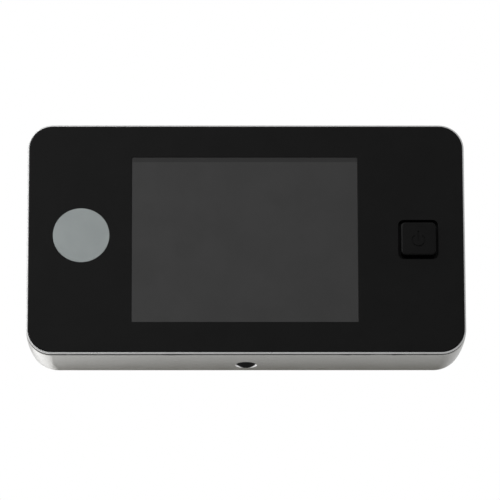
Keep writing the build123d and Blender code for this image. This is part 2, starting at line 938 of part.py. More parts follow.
def rear_shell():
    outer = shell_block((shell_front, shell_back))
    outer = fillet(outer.edges().group_by(Axis.Y)[-1], back_edge_radius)
    outer = fillet(outer.edges().group_by(Axis.Y)[0], shell_edge_radius)
    bay_walls, bay_space = battery_bay()
    recess_walls, recess_space = bracket_recess()
    hollow = shell_block((shell_front - overrun, shell_back - back_wall), wall)
    hollow -= bay_walls
    hollow -= recess_walls
    for place in four(case_screw_x, case_screw_z):
        hollow -= disc(case_boss_radius, (case_split, shell_back), place)
    recess_space -= post(lock_boss_radius, (recess_bottom - overrun, lock_web_top), (0, lock_y))
    shell = outer - hollow - bay_space - recess_space - cover_seat() - lock_cut() - socket_window()
    for cut in case_screw_holes() + lead_slots() + prong_slots():
        shell -= cut
    return shell


def countersunk_hole(place):
    """A screw hole through the bracket, sunk on its indoor side."""
    hole = disc(bracket_screw_hole, (-bracket_thickness - overrun, overrun), place)
    cone = Cone(bracket_screw_hole, bracket_screw_head, bracket_screw_sink)
    middle = -bracket_thickness + bracket_screw_sink / 2
    return hole + Pos(place[0], middle, place[1]) * Rot(90, 0, 0) * cone


def wall_bracket():
    height = bracket_top - bracket_bottom
    middle = (bracket_top + bracket_bottom) / 2
    outline = RectangleRounded(bracket_width, height, bracket_corner_radius)
    plate = upright(outline, (-bracket_thickness, 0), (0, middle))
    for side in (-1, 1):
        x = (side * prong_x - prong_width / 2, side * prong_x + prong_width / 2)
        leg = (bracket_top - bracket_thickness, bracket_top)
        plate += block(x, (-prong_reach, 0), leg)
        upper = (bracket_top - bracket_thickness, bracket_top + prong_height)
        plate += block(x, (-prong_reach, -prong_reach + bracket_thickness), upper)
    foot = (bracket_bottom, bracket_bottom + bracket_thickness)
    tip = lock_y - flange_tip
    outline = Pos(0, tip / 2) * Rectangle(flange_width, -tip)
    flange = Pos(0, 0, foot[0]) * extrude(outline, foot[1] - foot[0])
    tip_edges = flange.edges().filter_by(Axis.Z).group_by(Axis.Y)[0]
    plate += fillet(tip_edges, flange_corner_radius)
    plate += post(nut_radius, (foot[0], foot[1] + nut_height), (0, lock_y))
    plate -= disc(sleeve_radius + bracket_hole_gap, (-bracket_thickness - overrun, overrun))
    plate -= post(lock_radius + lock_gap, (foot[0] - overrun, foot[1] + nut_height + overrun), (0, lock_y))
    for side in (-1, 1):
        plate -= countersunk_hole((side * bracket_screw_x, 0))
    return plate


def lock_screw():
    seat = lock_web_bottom
    tip = bracket_bottom + bracket_thickness + nut_height + lock_past_nut
    head = post(lock_head_radius, (seat - lock_head, seat), (0, lock_y))
    head = fillet(head.edges().group_by(Axis.Z)[0], lock_head / 4)
    slot = (seat - lock_head - overrun, seat - lock_head + cross_depth)
    for x, y in ((cross_length, cross_width), (cross_width, cross_length)):
        head -= block((-x / 2, x / 2), (lock_y - y / 2, lock_y + y / 2), slot)
    return head + post(lock_radius, (seat, tip), (0, lock_y))


def clamp_sleeve():
    flange_end = sleeve_face - sleeve_flange
    tube = turned([
        (sleeve_bore, flange_end),
        (sleeve_flange_radius - sleeve_edge, flange_end),
        (sleeve_flange_radius, flange_end + sleeve_edge),
        (sleeve_flange_radius, sleeve_face),
        (sleeve_radius, sleeve_face),
        (sleeve_radius, sleeve_length - sleeve_edge),
        (sleeve_radius - sleeve_edge, sleeve_length),
        (sleeve_bore, sleeve_length),
    ])
    for angle in (0, 90):
        bar = block(
            (-sleeve_flange_radius - overrun, sleeve_flange_radius + overrun),
            (flange_end - overrun, flange_end + key_depth),
            (-key_width / 2, key_width / 2))
        tube -= Rot(0, angle, 0) * bar
    return tube


def thread_profile():
    """The ring grooves of the barrel's thread as (radius, y) points, from its inner end outwards."""
    points = []
    start = barrel_end + thread_start
    for i in range(int(thread_length / thread_pitch)):
        y = start + i * thread_pitch
        points.append((barrel_radius, y))
        points.append((barrel_radius - thread_depth, y + thread_pitch / 3))
        points.append((barrel_radius - thread_depth, y + thread_pitch / 2))
        points.append((barrel_radius, y + thread_pitch * 5 / 6))
    return points


def window_seat():
    """The place along Y where the window's seal lies."""
    return head_front - window_thickness - seal_thickness


def camera_housing():
    seat = window_seat()
    points = [(barrel_bore, barrel_end), (barrel_radius - thread_depth, barrel_end)]
    points += thread_profile()
    points += [
        (barrel_radius, head_foot),
        (head_radius, head_foot),
        (head_front_radius, head_front),
        (window_radius + window_gap, head_front),
        (window_radius + window_gap, seat),
        (head_bore_radius, seat),
        (head_bore_radius, head_foot + head_back),
        (barrel_bore, head_foot + head_back),
    ]
    return turned(points)


def door_gasket():
    ring = Circle(door_gasket_radius) - Circle(barrel_radius + door_gasket_gap)
    return upright(ring, (door_thickness, head_foot))


def sensor_place():
    """The back and front of the sensor board along Y."""
    back = head_foot + head_back + head_seat
    return back, back + sensor_board_thickness


def sensor_board():
    return disc(head_bore_radius - sensor_board_gap, sensor_place())


def image_sensor():
    front = sensor_place()[1]
    return upright(Rectangle(sensor_size, sensor_size), (front, front + sensor_height))


def sensor_socket():
    back = sensor_place()[0]
    return upright(Rectangle(sensor_socket_width, sensor_socket_height), (back - sensor_socket_depth, back))


def holder_front():
    return window_seat() + seal_thickness - holder_window_gap


def holder_bore():
    return holder_radius - holder_wall


def lens_holder():
    """A tube on the sensor board, with a ledge inside that the lenses rest on."""
    back = sensor_place()[1]
    ledge = back + sensor_height + lens_ledge
    inside = holder_bore()
    return turned([
        (sensor_size / 2 + holder_wall, back),
        (holder_flange_radius, back),
        (holder_flange_radius, back + holder_flange),
        (holder_radius, back + holder_flange),
        (holder_radius, holder_front()),
        (inside, holder_front()),
        (inside, ledge),
        (inside - lens_ledge, ledge),
        (inside - lens_ledge, back + sensor_height),
        (sensor_size / 2 + holder_wall, back + sensor_height),
    ])


def lens_backs():
    """Where the rear, middle and front lens each begin along Y."""
    rear = sensor_place()[1] + sensor_height + lens_ledge
    middle = rear + rear_lens_thickness
    return rear, middle, middle + spacer_thickness


def lens_rear():
    back, front, _ = lens_backs()
    return disc(holder_bore() - lens_gap, (back, front))


def lens_spacer():
    """A ring that spaces the two lenses, with a glass-clear hole."""
    _, back, front = lens_backs()
    ring = Circle(holder_bore() - lens_gap) - Circle(holder_bore() - lens_ledge)
    return upright(ring, (back, front))


def lens_front():
    """The domed wide-angle lens."""
    back = lens_backs()[2]
    radius = holder_bore() - lens_gap
    edge = back + front_lens_edge
    crown = edge + front_lens_crown
    sides = Polyline([(radius, edge), (radius, back), (0, back), (0, crown)])
    dome = TangentArc([(0, crown), (radius, edge)], tangent=(1, 0))
    return revolve(make_face([sides, dome]), Axis.Y)


def window_seal():
    outer = window_radius
    ring = Circle(outer) - Circle(outer - seal_width)
    return upright(ring, (window_seat(), window_seat() + seal_thickness))


def camera_window():
    face = (window_seat() + seal_thickness, head_front)
    return disc(window_radius, face)


def trim_ring():
    front = head_front + trim_thickness
    return turned([
        (trim_inner_radius, head_front),
        (trim_radius, head_front),
        (trim_radius, front - trim_edge_radius),
        (trim_radius - trim_edge_radius, front),
        (trim_inner_radius + trim_edge_radius, front),
        (trim_inner_radius, front - trim_edge_radius),
    ])


def build_parts():
    """Every piece by its name."""
    cells = cell_places()
    parts = {
        "front_panel": front_panel(),
        "silver_rim": silver_rim(),
        "badge_disc": badge_disc(),
        "power_button": power_button(),
        "switch_plunger": switch_plunger(),
        "tact_switch": tact_switch(),
        "screen_gasket": screen_gasket(),
        "screen_frame": screen_frame(),
        "window_pane": window_pane(),
        "screen_glass": screen_glass(),
        "screen_backlight": screen_backlight(),
        "screen_tail": screen_tail(),
        "tail_connector": tail_connector(),
        "main_board": main_board(),
        "board_pads": board_pads(),
        "board_screws": board_screws(),
        "processor": processor(),
        "memory_chip": memory_chip(),
        "capacitors": capacitors(),
        "inductor": inductor(),
        "ribbon_socket": ribbon_socket(),
        "rear_shell": rear_shell(),
        "case_screws": case_screws(),
        "battery_cover": battery_cover(),
        "contact_springs": contact_springs(),
        "positive_terminal": terminal(cells[0], 1),
        "negative_terminal": terminal(cells[-1], -1),
        "wall_bracket": wall_bracket(),
        "lock_screw": lock_screw(),
        "clamp_sleeve": clamp_sleeve(),
        "camera_housing": camera_housing(),
        "door_gasket": door_gasket(),
        "sensor_board": sensor_board(),
        "image_sensor": image_sensor(),
        "sensor_socket": sensor_socket(),
        "lens_holder": lens_holder(),
        "lens_rear": lens_rear(),
        "lens_spacer": lens_spacer(),
        "lens_front": lens_front(),
        "window_seal": window_seal(),
        "camera_window": camera_window(),
        "trim_ring": trim_ring(),
    }
    for i, (x, up) in enumerate(cells):
        parts[f"battery_cell_{i + 1}"] = battery_cell(x, up)
    for i in range(cell_count - 1):
        side = -cells[i][1]
        name = "bottom" if side < 0 else "top"
        parts[f"{name}_link_plate"] = link_plate(cells[i], cells[i + 1], side)
    return parts


os.makedirs("parts", exist_ok=True)
for name, solid in build_parts().items():
    export_step(solid, f"parts/{name}.step")
print("button travel", button_travel, "lift travel", lift_travel, "lock screw travel", lock_travel)
print("battery cover opens", cover_angle, "degrees about y", shell_back, "z", cover_bottom)
print("lock screw axis y", lock_y)
print("camera slides", thinnest_door - door_thickness, thickest_door - door_thickness, "pitch", thread_pitch)
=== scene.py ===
import json
from math import atan, cos, hypot, pi, radians, sin, tan

import bmesh
import bpy
from mathutils import Matrix, Vector

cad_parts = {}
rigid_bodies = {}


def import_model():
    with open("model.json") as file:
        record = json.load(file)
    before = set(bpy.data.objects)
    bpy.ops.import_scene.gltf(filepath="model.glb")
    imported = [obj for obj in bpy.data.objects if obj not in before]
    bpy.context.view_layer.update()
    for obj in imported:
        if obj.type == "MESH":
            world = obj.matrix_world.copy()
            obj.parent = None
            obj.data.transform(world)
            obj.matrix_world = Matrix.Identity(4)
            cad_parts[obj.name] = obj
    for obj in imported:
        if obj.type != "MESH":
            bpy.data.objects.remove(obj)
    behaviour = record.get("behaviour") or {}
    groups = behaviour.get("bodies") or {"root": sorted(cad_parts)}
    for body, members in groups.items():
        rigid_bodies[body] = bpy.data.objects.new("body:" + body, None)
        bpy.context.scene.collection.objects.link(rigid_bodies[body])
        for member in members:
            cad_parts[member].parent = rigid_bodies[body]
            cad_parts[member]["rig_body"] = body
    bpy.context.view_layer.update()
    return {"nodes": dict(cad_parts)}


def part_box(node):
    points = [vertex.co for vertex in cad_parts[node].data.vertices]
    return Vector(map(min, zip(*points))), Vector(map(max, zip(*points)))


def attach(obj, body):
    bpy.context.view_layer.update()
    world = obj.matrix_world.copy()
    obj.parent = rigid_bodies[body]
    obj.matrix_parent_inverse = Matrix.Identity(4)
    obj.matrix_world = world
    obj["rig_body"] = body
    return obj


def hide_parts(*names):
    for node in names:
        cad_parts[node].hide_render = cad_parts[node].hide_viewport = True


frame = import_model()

# The looks of a peephole door camera: its view, light, finishes and finely made pieces, in metres.
# X runs to the right seen from indoors, Y runs out through the door and Z runs up.
MM = 0.001


def middle_of(node):
    """The middle of a CAD piece's box."""
    low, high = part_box(node)
    return (low + high) / 2


# The photograph's view, from in front and a little below
photo_pixels = 500
sensor_width_mm = 36.0
focal_pixels = 5795.0
camera_distance = 1.69
camera_elevation = radians(-18.0)
camera_left_of_centre = 12.7 * MM
camera_far_clip = 100.0
panel_centre_pixel = (246.07, 238.3)

# Stage and light: each lamp has its place, its width and its watts
floor_height = -1.45
floor_size = 60.0
floor_colour = (0.80, 0.80, 0.79)
floor_roughness = 0.8
floor_glow = 0.67
world_level = 0.36
lamps = {
    "left_softbox": ((-0.36, -0.38, 0.26), 0.5, 1.5),
    "front_softbox": ((-0.50, -0.66, 0.50), 0.9, 5.4),
    "right_softbox": ((1.20, -0.30, 0.30), 0.7, 1.2),
    "back_left_softbox": ((-0.53, 1.24, -0.36), 0.86, 3.7),
    "back_right_softbox": ((0.80, 1.20, 0.80), 0.8, 3.0),
}
dark_card_size = (1.3, 0.58)
dark_card_place = (0.0, 1.6, -0.15)
dark_card_tone = (0.05, 0.04, 0.01)
dark_card_fade = (0.12, 0.55)

# The case's walls swell a little between their front and back edges, in a skin along their outline
case_draft = radians(2.6)
case_corner = (7.4 * MM, 8.3 * MM)
crown_height = 0.3 * MM
crown_steps = 14
crown_skin = (0.1 * MM, 0.5 * MM)
front_skin = 0.3 * MM
facing_share = 0.7

# The groove between the rim and the case, whose floor and the case's front face there get painted shade grey,
# and the display's darker strip, painted shade of the window's top edge
groove_width = 1.2 * MM
groove_depth = 0.2 * MM
groove_spare = 0.01 * MM
groove_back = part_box("rear_shell")[0].y
groove_front = groove_back - groove_width
# The strip is painted shade along the pane's top, where the window's top edge would shade a recessed screen
strip_height = 1.8 * MM
strip_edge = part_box("window_pane")[1].z - strip_height
strip_span = 10.0 * MM

# The front panel's openings, rounded everywhere but at the disc's seat
opening_edge = 0.12 * MM
opening_edge_steps = 3
opening_turn = radians(60)
disc_seat_reach = 9.0 * MM

# The camera's head and barrel
barrel_radius = 5.5 * MM
barrel_bore = 4.5 * MM
barrel_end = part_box("camera_housing")[0].y
barrel_collar = 0.3 * MM
thread_start = barrel_end + 1.0 * MM
thread_end = thread_start + 32.0 * MM
thread_pitch = 1.0 * MM
thread_depth = 0.3 * MM
thread_run_out = 0.8 * MM
thread_steps = 96
head_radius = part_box("camera_housing")[1].x
head_front_radius = 13.4 * MM
head_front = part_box("camera_housing")[1].y
head_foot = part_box("door_gasket")[1].y
head_bore = 9.8 * MM
head_back = head_foot + 1.5 * MM
window_bore = 10.6 * MM
window_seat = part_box("window_seal")[0].y
head_foot_rounding = 0.35 * MM
head_front_rounding = 0.25 * MM
barrel_rounding = 0.2 * MM
bore_rounding = 0.15 * MM
fine_rounding = 0.1 * MM
hair_rounding = 0.05 * MM

# The head's groove: how far in from its radius, how far above its foot, and the rounding
head_groove = (
    (0.15 * MM, 1.6 * MM, fine_rounding),
    (0.45 * MM, 1.8 * MM, hair_rounding),
    (0.45 * MM, 2.1 * MM, hair_rounding),
    (0.25 * MM, 2.3 * MM, fine_rounding),
)

# The lock screw and the dish round its head
lock_axis = middle_of("lock_screw").y
lock_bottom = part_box("lock_screw")[0].z
lock_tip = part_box("lock_screw")[1].z
lock_seat = lock_bottom + 1.6 * MM
lock_stub = 0.3 * MM
lock_radius = 1.0 * MM
lock_neck_radius = 0.95 * MM
lock_neck_foot = 0.1 * MM
lock_neck_end = 3.8 * MM
lock_thread_start = 4.0 * MM
lock_thread_depth = 0.16 * MM
lock_pitch = 0.4 * MM
lock_run_out = 0.4 * MM
lock_point = 0.5 * MM
lock_steps = 36
cross_floor = (0.7 * MM, 0.9 * MM)
cross_taper_share = 0.5
dish_reach = 3.6 * MM
dish_height = 3.8 * MM
dish_mouth = -34.75 * MM
# The dish's painted shade: dark deep in the dish and in a V down its middle, with a painted highlight left at
# both sides
dish_shade_slope = 0.17
dish_shade = (-0.08 * MM, 0.12 * MM)

# The cells, measured from the top of the positive end, and the springs behind them
cell_nodes = ("battery_cell_1", "battery_cell_2", "battery_cell_3")
cell_nub_height = 1.0 * MM
cell_nub_radius = 1.9 * MM
cell_nub_rounding = 0.25 * MM
cell_groove = 0.25 * MM
cell_lap = 1.1 * MM
cell_sleeve = 0.12 * MM
cell_shoulder_rounding = 0.4 * MM
cell_band = 9.0 * MM
cell_plate_radii = (2.6 * MM, 2.4 * MM)
cell_steps = 48
spring_wire = 0.24 * MM
spring_wire_sides = 10
spring_length = 3.2 * MM
spring_radii = (3.4 * MM, 2.2 * MM)
spring_turns = 4
spring_turn_steps = 36

# What counts as one point, as on a cut's plane, as inside a lap and as a flat edge
merge_gap = 0.001 * MM
close_gap = 0.002 * MM
cut_gap = 0.0005 * MM
lap_spare = 0.01 * MM
flat_turn = radians(0.5)

# How many steps a rounding has, and how far an edge turns before it is rounded
corner_steps = 4
soft_edge_steps = 2
soft_edge_turn = radians(40)

# The width of the small rounded edges on the pieces whose form the CAD has
soft_edges = {
    "wall_bracket": 0.25 * MM,
    "clamp_sleeve": 0.15 * MM,
    "battery_cover": 0.18 * MM,
    "lens_holder": 0.12 * MM,
    "processor": 0.1 * MM,
    "memory_chip": 0.1 * MM,
    "inductor": 0.35 * MM,
    "tact_switch": 0.15 * MM,
    "tail_connector": 0.12 * MM,
    "ribbon_socket": 0.12 * MM,
    "sensor_socket": 0.1 * MM,
    "image_sensor": 0.06 * MM,
    "screen_frame": 0.08 * MM,
    "main_board": 0.08 * MM,
    "sensor_board": 0.08 * MM,
    "door_gasket": 0.22 * MM,
    "trim_ring": 0.08 * MM,
    "power_button": 0.05 * MM,
    "badge_disc": 0.06 * MM,
    "case_screws": 0.1 * MM,
    "board_screws": 0.1 * MM,
    "capacitors": 0.35 * MM,
    "board_pads": 0.15 * MM,
    "switch_plunger": 0.12 * MM,
    "screen_backlight": 0.08 * MM,
    "positive_terminal": 0.06 * MM,
    "negative_terminal": 0.06 * MM,
    "top_link_plate": 0.06 * MM,
    "bottom_link_plate": 0.06 * MM,
}

# The grain of the finishes: how wide its blobs, cells and lines are, and how high they stand
cloud_size = 9.0 * MM
wear_size = 3.0 * MM
mould_grain = 0.18 * MM
mould_grain_height = 0.006 * MM
flake_size = 0.12 * MM
flake_height = 0.0015 * MM
line_size = 0.25 * MM
line_height = 0.002 * MM
line_wear_size = 1.5 * MM
pore_size = 0.35 * MM
pore_height = 0.02 * MM
track_size = 2.4 * MM
track_height = 0.03 * MM
board_cloud_size = 4.0 * MM
glass_cloud_size = 20.0 * MM
glass_wave_size = 6.0 * MM
glass_wave_height = 0.001 * MM

# The part of a pattern's range in which a colour or a roughness changes
cloud_span = (0.35, 0.65)
wear_span = (0.3, 0.7)
flake_span = (0.0, 1.0)
pore_span = (0.1, 0.9)
glass_span = (0.2, 0.8)

# The way in which the fine lines of bare metal are drawn out
along_x = (12, 1, 1)
along_y = (1, 12, 1)
along_z = (1, 1, 12)
round_y = (12, 1, 12)


def make_camera():
    """Stands the camera below the unit and a little to its left, with the panel's middle at its pixel."""
    centre = middle_of("front_panel")
    centre.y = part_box("front_panel")[0].y
    away = Vector((0, -cos(camera_elevation), sin(camera_elevation))) * camera_distance
    away.x = -camera_left_of_centre
    forward = -away.normalized()
    right = (Vector((1, 0, 0)) - forward.x * forward).normalized()
    camera = bpy.data.objects.new("camera", bpy.data.cameras.new("camera"))
    camera.data.sensor_width = sensor_width_mm
    camera.data.lens = focal_pixels * sensor_width_mm / photo_pixels
    camera.data.clip_end = camera_far_clip
    across = atan((panel_centre_pixel[0] - photo_pixels / 2) / focal_pixels)
    down = atan((panel_centre_pixel[1] - photo_pixels / 2) / focal_pixels)
    aim = Matrix((right, right.cross(forward), -forward)).transposed().to_4x4()
    aim = aim @ Matrix.Rotation(across, 4, "Y") @ Matrix.Rotation(down, 4, "X")
    camera.matrix_world = Matrix.Translation(centre + away) @ aim
    bpy.context.collection.objects.link(camera)
    bpy.context.scene.camera = camera


def seen_directly(tree):
    """1 for what the camera, a reflection or clear glass shows, and 0 for the light that falls on things."""
    path = tree.nodes.new("ShaderNodeLightPath")
    glossy = tree.nodes.new("ShaderNodeMath")
    glossy.operation = "MAXIMUM"
    clear = tree.nodes.new("ShaderNodeMath")
    clear.operation = "MAXIMUM"
    tree.links.new(path.outputs["Is Camera Ray"], glossy.inputs[0])
    tree.links.new(path.outputs["Is Glossy Ray"], glossy.inputs[1])
    tree.links.new(glossy.outputs[0], clear.inputs[0])
    tree.links.new(path.outputs["Is Transmission Ray"], clear.inputs[1])
    return clear.outputs[0]


def make_world():
    """White wherever it is seen, and dim where it lights the object."""
    world = bpy.data.worlds.new("studio")
    world.use_nodes = True
    tree = world.node_tree
    tree.nodes.clear()
    dim = tree.nodes.new("ShaderNodeBackground")
    dim.inputs["Strength"].default_value = world_level
    white = tree.nodes.new("ShaderNodeBackground")
    white.inputs["Strength"].default_value = 1
    mix = tree.nodes.new("ShaderNodeMixShader")
    output = tree.nodes.new("ShaderNodeOutputWorld")
    for background in (dim, white):
        background.inputs["Color"].default_value = (1, 1, 1, 1)
    tree.links.new(seen_directly(tree), mix.inputs[0])
    tree.links.new(dim.outputs[0], mix.inputs[1])
    tree.links.new(white.outputs[0], mix.inputs[2])
    tree.links.new(mix.outputs[0], output.inputs["Surface"])
    bpy.context.scene.world = world


def make_lamps():
    """Square softboxes that all face the unit."""
    for name, (place, size, watts) in lamps.items():
        lamp = bpy.data.objects.new(name, bpy.data.lights.new(name, "AREA"))
        lamp.data.shape = "SQUARE"
        lamp.data.size = size
        lamp.data.energy = watts
        lamp.location = place
        lamp.rotation_euler = (-Vector(place)).to_track_quat("-Z", "Y").to_euler()
        bpy.context.collection.objects.link(lamp)


class Finish:
    """A material under making: its shader, and short calls for the patterns that feed it."""

    def __init__(self, name, roughness, metallic=0.0, gloss=0.5):
        self.material = bpy.data.materials.new(name)
        self.material.use_nodes = True
        self.tree = self.material.node_tree
        self.shader = self.tree.nodes["Principled BSDF"]
        self.shader.inputs["Roughness"].default_value = roughness
        self.shader.inputs["Metallic"].default_value = metallic
        self.shader.inputs["Specular IOR Level"].default_value = gloss

    def node(self, kind, **settings):
        made = self.tree.nodes.new(kind)
        for key, value in settings.items():
            setattr(made, key, value)
        return made

    def link(self, output, socket):
        self.tree.links.new(output, socket)

    def place(self, centre=(0, 0, 0), turn=(0, 0, 0), stretch=(1, 1, 1)):
        """Object coordinates, moved to a centre, turned and stretched."""
        coordinates = self.node("ShaderNodeTexCoord")
        mapping = self.node("ShaderNodeMapping", vector_type="TEXTURE")
        mapping.inputs["Location"].default_value = centre
        mapping.inputs["Rotation"].default_value = turn
        mapping.inputs["Scale"].default_value = stretch
        self.link(coordinates.outputs["Object"], mapping.inputs["Vector"])
        return mapping.outputs["Vector"]

    def axes(self, place):
        """A place taken apart into its X, Y and Z."""
        axes = self.node("ShaderNodeSeparateXYZ")
        self.link(place, axes.inputs["Vector"])
        return axes.outputs

    def sum(self, operation, *terms):
        """A sum of one or two terms, each an output or a plain number."""
        worked = self.node("ShaderNodeMath", operation=operation)
        for term, socket in zip(terms, worked.inputs):
            if isinstance(term, (int, float)):
                socket.default_value = term
            else:
                self.link(term, socket)
        return worked.outputs[0]

    def noise(self, size, detail=3.0, place=None):
        """Cloudy noise whose blobs are about this size."""
        texture = self.node("ShaderNodeTexNoise")
        texture.inputs["Scale"].default_value = 1 / size
        texture.inputs["Detail"].default_value = detail
        self.link(place or self.place(), texture.inputs["Vector"])
        return texture.outputs["Fac"]

    def cells(self, size):
        """Small cells of this size, each with its own shade."""
        texture = self.node("ShaderNodeTexVoronoi")
        texture.inputs["Scale"].default_value = 1 / size
        self.link(self.place(), texture.inputs["Vector"])
        channels = self.node("ShaderNodeSeparateColor")
        self.link(texture.outputs["Color"], channels.inputs["Color"])
        return channels.outputs["Red"]

    def spread(self, pattern, start, end, low=0.0, high=1.0):
        """A number that goes from low to high as the pattern goes from start to end, and stays there."""
        spread = self.node("ShaderNodeMapRange")
        spread.inputs["From Min"].default_value = start
        spread.inputs["From Max"].default_value = end
        spread.inputs["To Min"].default_value = low
        spread.inputs["To Max"].default_value = high
        self.link(pattern, spread.inputs["Value"])
        return spread.outputs["Result"]

    def blend(self, pattern, low, high, span=cloud_span):
        """A colour that goes from low to high as the pattern goes through its span."""
        ramp = self.node("ShaderNodeValToRGB")
        ramp.color_ramp.elements[0].position = span[0]
        ramp.color_ramp.elements[1].position = span[1]
        ramp.color_ramp.elements[0].color = (*low, 1)
        ramp.color_ramp.elements[1].color = (*high, 1)
        self.link(pattern, ramp.inputs["Fac"])
        return ramp.outputs["Color"]

    def mixed(self, share, first, second):
        """A mix of two colours, each an output or a plain colour."""
        mix = self.node("ShaderNodeMix", data_type="RGBA")
        self.link(share, mix.inputs["Factor"])
        for name, tone in (("A", first), ("B", second)):
            if isinstance(tone, tuple):
                mix.inputs[name].default_value = (*tone, 1)
            else:
                self.link(tone, mix.inputs[name])
        return mix.outputs["Result"]

    def colour(self, output):
        self.link(output, self.shader.inputs["Base Color"])

    def roughen(self, pattern, low, high):
        """Roughness that wanders between low and high with the pattern."""
        self.link(self.spread(pattern, *wear_span, low, high), self.shader.inputs["Roughness"])

    def relief(self, pattern, height):
        """Bumps of this height."""
        bump = self.node("ShaderNodeBump")
        bump.inputs["Strength"].default_value = 1
        bump.inputs["Distance"].default_value = height
        self.link(pattern, bump.inputs["Height"])
        self.link(bump.outputs["Normal"], self.shader.inputs["Normal"])


def grey(level):
    return (level, level, level)


def pale_floor():
    """Pale matt floor that shows white but keeps shadows."""
    finish = Finish("pale_floor", floor_roughness)
    finish.shader.inputs["Base Color"].default_value = (*floor_colour, 1)
    finish.shader.inputs["Emission Color"].default_value = (1, 1, 1, 1)
    glow = finish.sum("MULTIPLY", seen_directly(finish.tree), floor_glow)
    finish.link(glow, finish.shader.inputs["Emission Strength"])
    return finish.material


def faded_card():
    """A card that is dark in its middle and goes over to white at both sides."""
    finish = Finish("dark_card", 0.5, gloss=0)
    finish.shader.inputs["Base Color"].default_value = (*grey(0), 1)
    finish.shader.inputs["Emission Strength"].default_value = 1
    from_middle = finish.sum("ABSOLUTE", finish.axes(finish.place())["X"])
    fade = finish.spread(from_middle, *dark_card_fade)
    fade.node.interpolation_type = "SMOOTHSTEP"
    finish.link(finish.mixed(fade, dark_card_tone, grey(1)), finish.shader.inputs["Emission Color"])
    return finish.material


def moulded_plastic(name, low, high, roughness, gloss, wear=0.04):
    """Moulded plastic: faint cloudy colour, and the fine grain of an etched mould."""
    finish = Finish(name, roughness, gloss=gloss)
    finish.colour(finish.blend(finish.noise(cloud_size), low, high))
    finish.roughen(finish.noise(wear_size), roughness - wear, roughness + wear)
    finish.relief(finish.noise(mould_grain, detail=2.0), mould_grain_height)
    return finish.material


def silver_paint(name, low, high, roughness, wear=0.01):
    """Silver paint: fine flakes in a soft metallic coat."""
    finish = Finish(name, roughness, metallic=0.7)
    flakes = finish.cells(flake_size)
    finish.colour(finish.blend(flakes, low, high, flake_span))
    finish.roughen(finish.noise(cloud_size), roughness - wear, roughness + wear)
    finish.relief(flakes, flake_height)
    return finish.material


def drawn_metal(name, low, high, roughness, stretch, polish=0.06, wear=0.08):
    """Bare metal with the fine lines of rolling or turning, along the long side of the stretch."""
    finish = Finish(name, roughness, metallic=1.0)
    lines = finish.noise(line_size, detail=4.0, place=finish.place(stretch=stretch))
    finish.colour(finish.blend(lines, low, high))
    finish.roughen(finish.noise(line_wear_size), roughness - polish, roughness + wear)
    finish.relief(lines, line_height)
    return finish.material


def soft_rubber(name, low, high):
    """Matt rubber or foam with small pores."""
    finish = Finish(name, 0.85, gloss=0.25)
    pores = finish.cells(pore_size)
    finish.colour(finish.blend(pores, low, high, pore_span))
    finish.relief(pores, pore_height)
    return finish.material


def smoked_pane(name, pane, strip, roughness, gloss):
    """The display's clear pane, grey when off, with a darker strip along its top that is painted shade of the
    window's top edge.
    """
    finish = Finish(name, roughness[0], gloss=gloss)
    stretch = strip_span, strip_span, strip_span
    # Painted shade: the pane is darker above the strip's edge
    from_strip = finish.place((0, 0, strip_edge - strip_span / 2), stretch=stretch)
    ramp = finish.blend(finish.axes(from_strip)["Z"], grey(0), grey(1), (0.0, 0.5))
    ramp.node.color_ramp.interpolation = "CONSTANT"
    clouds = finish.noise(cloud_size)
    finish.colour(finish.mixed(ramp, finish.blend(clouds, *pane), finish.blend(clouds, *strip)))
    finish.roughen(finish.noise(wear_size), *roughness)
    return finish.material


def dish_painted_shade_and_highlight(name, silver, shadow, roughness, gloss):
    """The lock screw's hole and the deep middle of its dish in painted shade, with a painted highlight of
    pale metal at both sides of its mouth.
    """
    finish = Finish(name, roughness, gloss=gloss)
    axes = finish.axes(finish.place((0, 0, dish_mouth)))
    slope = finish.sum("MULTIPLY", finish.sum("ABSOLUTE", axes["X"]), dish_shade_slope)
    shade = finish.spread(finish.sum("SUBTRACT", axes["Z"], slope), *dish_shade)
    flakes = finish.cells(flake_size)
    # Pale tones for the painted highlight and near-black tones for the painted shade
    bright = finish.blend(flakes, *silver, flake_span)
    dark = finish.blend(flakes, *shadow, flake_span)
    finish.colour(finish.mixed(shade, bright, dark))
    finish.link(finish.sum("SUBTRACT", 1, shade), finish.shader.inputs["Metallic"])
    return finish.material


def circuit_board(name, low, high, trace):
    """Solder-masked board: a cloudy green with the lighter tracks under it."""
    finish = Finish(name, 0.35)
    tracks = finish.node("ShaderNodeTexBrick")
    tracks.inputs["Scale"].default_value = 1 / track_size
    tracks.inputs["Mortar Size"].default_value = 0.06
    tracks.inputs["Mortar Smooth"].default_value = 0.2
    finish.link(finish.place(turn=(radians(90), 0, 0)), tracks.inputs["Vector"])
    mask = finish.blend(finish.noise(board_cloud_size), low, high)
    finish.colour(finish.mixed(tracks.outputs["Fac"], mask, trace))
    finish.relief(tracks.outputs["Fac"], track_height)
    return finish.material


def clear_glass(name, tint, roughness):
    """Thin clear glass with a faint tint and hardly any waviness."""
    finish = Finish(name, roughness)
    finish.shader.inputs["Transmission Weight"].default_value = 1.0
    finish.shader.inputs["IOR"].default_value = 1.5
    finish.colour(finish.blend(finish.noise(glass_cloud_size), tint, grey(1.0), glass_span))
    finish.relief(finish.noise(glass_wave_size), glass_wave_height)
    return finish.material


